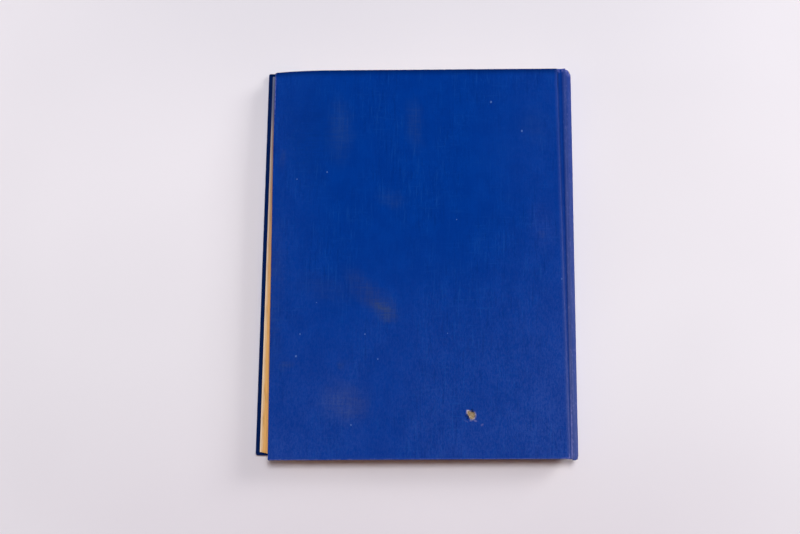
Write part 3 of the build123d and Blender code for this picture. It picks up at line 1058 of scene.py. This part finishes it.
def leaf_block(name, material):
    """The leaves with their cut edges, one over the other, leaning with the slack binding."""
    draw = random.Random(LEAF_SEED)
    shape = Shape("share", "tone", "gap", "page")
    u_shares = [k / LEAF_U_STEPS for k in range(LEAF_U_STEPS + 1)]
    v_shares = [k / LEAF_V_STEPS for k in range(LEAF_V_STEPS + 1)]
    around = [(i, j) for j, i in grid_border(0, LEAF_V_STEPS, 0, LEAF_U_STEPS)]

    def leaf_place(i, j, share, insets):
        fore, head, tail = insets
        u = fore + (leaf_width - fore) * u_shares[i] - leaf_width / 2
        v = tail - LEAF_HEIGHT / 2 + (LEAF_HEIGHT - tail - head) * v_shares[j]
        turn = SKEW * share
        fore_x = leaf_fore_x + LEAN * share + 4 * LEAF_BULGE * share * (1 - share)
        x = fore_x + leaf_width / 2 + u * math.cos(turn) - v * math.sin(turn)
        y = SLIP * share + u * math.sin(turn) + v * math.cos(turn)
        cover_u, cover_v = to_back_cover(x, y)
        top = back_sheet_height(cover_u, cover_v, ALBUM_THICKNESS - block_top)
        sway = LEAF_WAVE * ripple((x, y, share), LEAF_RIPPLE) * 4 * share * (1 - share)
        return (x, y, block_low + share * (top - block_low) + sway)

    previous = None
    first_ring = None
    for leaf in range(LEAF_COUNT):
        tone = draw.random()
        insets = [draw.uniform(0.0, LEAF_TRIM) for side in range(3)]
        if draw.random() < LOOSE_CHANCE:
            insets[0] += draw.uniform(*LOOSE_INSET)
        for height, deeper, gap in LEAF_RINGS:
            share = (leaf + height) / (LEAF_COUNT - LAST_GAP)
            if share > 1.0:
                continue
            kept = [inset + deeper for inset in insets]
            ring = []
            for i, j in around:
                ring.append(shape.point(leaf_place(i, j, share, kept), share=share, tone=tone, gap=gap))
            if previous is None:
                first_ring, first_insets = ring, kept
            else:
                shape.band(ring, previous, closed=True)
            previous, last_insets = ring, kept

    sides = [(first_ring, 0.0, first_insets, False), (previous, 1.0, last_insets, True)]
    for ring, share, insets, upward in sides:
        where = dict(zip(around, ring))
        for i in range(LEAF_U_STEPS + 1):
            for j in range(LEAF_V_STEPS + 1):
                if (i, j) not in where:
                    where[i, j] = shape.point(leaf_place(i, j, share, insets), share=share, page=1.0)
        for i in range(LEAF_U_STEPS):
            for j in range(LEAF_V_STEPS):
                corners = [where[i, j], where[i + 1, j], where[i + 1, j + 1], where[i, j + 1]]
                shape.face(*(corners if upward else reversed(corners)))
    return shape.build(name, material, LEAF_SHARP)


hole_center = (half_width - HOLE_FROM_SPINE, HOLE_FROM_TAIL - half_height)
back_skin = cover_skin("back_cover_skin", on_back_cover, back_cloth, hole_center)
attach(back_skin, "back_cover")
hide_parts("back_cover_cloth")

front_skin = cover_skin("front_cover_skin", on_front_cover, cloth)
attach(front_skin, "front_cover")
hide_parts("front_cover_cloth")


def back_joint_end(v):
    """Run from the board's edge to the hinge line, shorter towards the tail."""
    return (back_hinge.x - back_center[0] + v * math.sin(SKEW)) / math.cos(SKEW) - half_width


def front_joint_end(v):
    """Run from the board's edge to the hinge line, the same at every v."""
    return front_hinge.x - front_center_x - half_width


back_groove = (BACK_GROOVE_DEPTH, back_level, back_joint_end, BACK_SHOULDER)
back_joint = joint_strip("back_joint_cloth", on_back_cover, *back_groove, back_cloth, False)
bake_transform(back_joint)
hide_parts("back_cover_cloth")

front_groove = (FRONT_GROOVE_DEPTH, front_hinge.z, front_joint_end, FRONT_SHOULDER)
front_joint = joint_strip("front_joint_cloth", on_front_cover, *front_groove, cloth, True)
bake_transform(front_joint)
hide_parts("front_cover_cloth")

spine = spine_skin("spine_skin", cloth)
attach(spine, "text_block")
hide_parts("spine_cloth")

leaves = leaf_block("leaves", leaves_material())
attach(leaves, "text_block")
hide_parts("text_block")

front_paper = paper_material("front_endpaper", (front_center_x, 0.0), 0.0, half_width, half_height)
back_paper = paper_material("back_endpaper", back_center, SKEW, half_width, half_height)

# Endpaper in the back joint: up from the top leaf to the hinge line, under the cloth, over the board's edge
PAPER = 0.08
PAPER_END = 151.3
PAPER_ROWS = 61
PAPER_SHARP = 50.0
PAPER_GAP = 0.04
BOARD_GAP = 1.2 * PAPER
LEAF_LAP = 6.0
LAP_STEPS = 4
LAP_LIFT = 1.4 * PAPER
FOLD_STEPS = 8
FOLD_FROM_LEAF_EDGE = 0.15
FOLD_FROM_HINGE = 0.25
FOOT_RISE = 0.12
FOOT_START = (0.1, 0.02)
paper_along = np.linspace(-PAPER_END, PAPER_END, PAPER_ROWS).tolist()
paper_depth = CLOTH_SHOWN + PAPER_GAP


def paper_strip(name, rows):
    """Thin paper through rows of points that run from the leaf towards the board."""
    shape = Shape()
    shape.sheet([[shape.point(place) for place in row] for row in rows])
    strip = thicken(shape.build(name, back_paper, PAPER_SHARP), PAPER)
    return strip


def leaf_hinge_row(y):
    leaf_edge = leaf_fore_x + LEAN + leaf_width - (y - SLIP) * math.sin(SKEW)
    fold = min(leaf_edge - FOLD_FROM_LEAF_EDGE, back_hinge.x - FOLD_FROM_HINGE)
    low = block_top + LAP_LIFT
    high = ALBUM_THICKNESS - back_level - paper_depth
    row = [(fold - LEAF_LAP * k / LAP_STEPS, y, low) for k in range(LAP_STEPS, 0, -1)]
    foot = low + FOOT_RISE
    row += [(fold - FOOT_START[0], y, low + FOOT_START[1]), (fold, y, foot)]
    for k in range(1, FOLD_STEPS + 1):
        rise = k / FOLD_STEPS
        row.append((fold + (back_hinge.x - fold) * rise**3, y, foot + (high - foot) * rise))
    return row


def joint_paper_row(v):
    end = back_joint_end(v)
    width = end - BACK_SHOULDER
    deepest = joint_depth(width, BACK_GROOVE_DEPTH, back_level)
    row = []
    for run in reversed(joint_runs(width, end)):
        depth = max(groove_depth(run, width, deepest, back_level), paper_depth) + paper_depth
        row.append(on_back_cover(half_width + run, v, depth))
    return row


def board_paper_row(v):
    start = joint_depth(back_joint_end(v) - BACK_SHOULDER, BACK_GROOVE_DEPTH, back_level) + paper_depth
    depths = [start + (COVER_THICKNESS - start) * k / LAP_STEPS for k in range(LAP_STEPS + 1)]
    return [on_back_cover(half_width + BOARD_GAP, v, depth) for depth in depths]


leaf_paper = paper_strip("back_leaf_hinge", [leaf_hinge_row(y) for y in paper_along])
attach(leaf_paper, "text_block")
joint_paper = paper_strip("back_joint_paper", [joint_paper_row(v) for v in paper_along])
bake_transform(joint_paper)
board_paper = paper_strip("back_board_paper", [board_paper_row(v) for v in paper_along])
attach(board_paper, "back_cover")

node_materials = {
    "front_board": board_stuff,
    "back_board": board_stuff,
    "spine_card": card_stuff,
    "spine_lining": lining_stuff,
    "front_pastedown": front_paper,
    "back_pastedown": back_paper,
}
for node_name, material in node_materials.items():
    node_mesh = frame["nodes"][node_name].data
    node_mesh.materials.clear()
    node_mesh.materials.append(material)


# Floor, with painted shade beside head and tail, which passes into the pale background far from the album.
# Each painted shade has the y where it starts and where it is full, its greatest share and its colour.
FLOOR_HALF = 2500.0
FLOOR_DROP = 0.3
BACKGROUND = paint(235, 230, 236)
FLOOR_COLORS = (paint(232, 230, 238), paint(236, 234, 242))
FLOOR_PAINTED_SHADES = (
    (-60.0, -300.0, 0.4, paint(206, 195, 207)),
    (60.0, 300.0, 0.65, paint(210, 210, 220)),
)
TONE_FADE = (220.0, 480.0)
FAR_FADE = (420.0, 1100.0)

ground = Surface("pale_floor")
floor_cloud = ground.noise((0.004, 0.004, 0.004))
floor_y = ground.axes(ground.mm)["Y"]
floor_color = ground.mix(ground.ramp(floor_cloud, 0.3, 0.7), *FLOOR_COLORS)
floor_reach = ground.vector("LENGTH", ground.mm)
beside_album = ground.ramp(floor_reach, *TONE_FADE, 1.0, 0.0)
# Painted shade on the floor beside tail and head, fading out away from the album
for start, full, most, tone in FLOOR_PAINTED_SHADES:
    shade_share = ground.times(ground.ramp(floor_y, start, full, 0.0, most), beside_album)
    floor_color = ground.mix(shade_share, floor_color, tone)
floor_shader = ground.shader(floor_color, 0.95, Specular_IOR_Level=0.05)
far_seen = ground.times(ground.ramp(floor_reach, *FAR_FADE), ground.seen_share())
glow = ground.put("ShaderNodeEmission", {"Color": BACKGROUND, "Strength": 1.0}).outputs["Emission"]
floor_mix = ground.put("ShaderNodeMixShader", {0: far_seen, 1: floor_shader, 2: glow}).outputs[0]
floor_mesh = bpy.data.meshes.new("floor")
floor_signs = ((-1, -1), (1, -1), (1, 1), (-1, 1))
floor_corners = [Vector((x * FLOOR_HALF, y * FLOOR_HALF, -FLOOR_DROP)) * MM for x, y in floor_signs]
floor_mesh.from_pydata(floor_corners, [], [(0, 1, 2, 3)])
floor_mesh.materials.append(ground.close(floor_mix))
floor = bpy.data.objects.new("floor", floor_mesh)
bpy.context.scene.collection.objects.link(floor)

# Light: a soft lamp overhead, a little towards the head, a broad one beyond the spine and towards the head, a
# low weak one at the fore-edge, and a dim surround that is warm towards the tail.
# Each lamp has a place and a width in metres, a power in watts and a colour.
SURROUND_BRIGHT = (0.21, 0.225, 0.25, 1.0)
SURROUND_FORE = (0.14, 0.17, 0.24, 1.0)
SURROUND_TAIL = (0.15, 0.06, 0.02, 1.0)
LAMPS = {
    "top_lamp": (Vector((0.3, 0.84, 3.0)), 0.9, 61.1, (1.0, 0.99, 0.985)),
    "spine_lamp": (Vector((2.4, 1.35, 1.3)), 1.2, 52.0, (1.0, 0.97, 0.92)),
    "fore_lamp": (Vector((-1.3, 0.1, 0.14)), 0.25, 4.6, (1.0, 0.97, 0.93)),
}
world = bpy.data.worlds.new("surround")
world.use_nodes = True
surround = Nodes(world.node_tree)
heading = surround.axes(surround.put("ShaderNodeTexCoord").outputs["Generated"])
across = surround.mix(surround.ramp(heading["X"], -0.9, 0.2), SURROUND_FORE, SURROUND_BRIGHT)
along = surround.mix(surround.ramp(heading["Y"], -0.6, 0.3), SURROUND_TAIL, across)
lighting, seen = (
    surround.put("ShaderNodeBackground", {"Color": color}).outputs[0] for color in (along, BACKGROUND)
)
shown = surround.put("ShaderNodeMixShader", {0: surround.seen_share(), 1: lighting, 2: seen})
surround.put("ShaderNodeOutputWorld", {"Surface": shown.outputs[0]})
bpy.context.scene.world = world

for lamp_name, (lamp_place, lamp_size, lamp_power, lamp_color) in LAMPS.items():
    lamp_data = bpy.data.lights.new(lamp_name, "AREA")
    lamp_data.energy = lamp_power
    lamp_data.size = lamp_size
    lamp_data.color = lamp_color
    lamp = bpy.data.objects.new(lamp_name, lamp_data)
    lamp.location = lamp_place
    lamp.rotation_euler = (-lamp_place).to_track_quat("-Z", "Y").to_euler()
    lamp.visible_camera = False
    bpy.context.scene.collection.objects.link(lamp)

# Camera, at the photograph's viewing angle. Its turns are in radians.
CAMERA_PLACE = Vector((-7.28, -107.26, 672.885)) * MM
CAMERA_TURNS = ((0.14983, "X"), (0.00923, "Y"), (0.00974, "Z"))
SENSOR_WIDTH = 36.0
LENS = 38.05
CLIP_START = 10.0
camera_data = bpy.data.cameras.new("camera")
camera_data.sensor_width = SENSOR_WIDTH
camera_data.lens = LENS
camera_data.clip_start = CLIP_START * MM
camera = bpy.data.objects.new("camera", camera_data)
turned = Matrix.Identity(4)
for angle, axis in CAMERA_TURNS:
    turned = turned @ Matrix.Rotation(angle, 4, axis)
camera.matrix_world = Matrix.Translation(CAMERA_PLACE) @ turned
bpy.context.scene.collection.objects.link(camera)
bpy.context.scene.camera = camera
bpy.context.scene.view_settings.view_transform = "Standard"
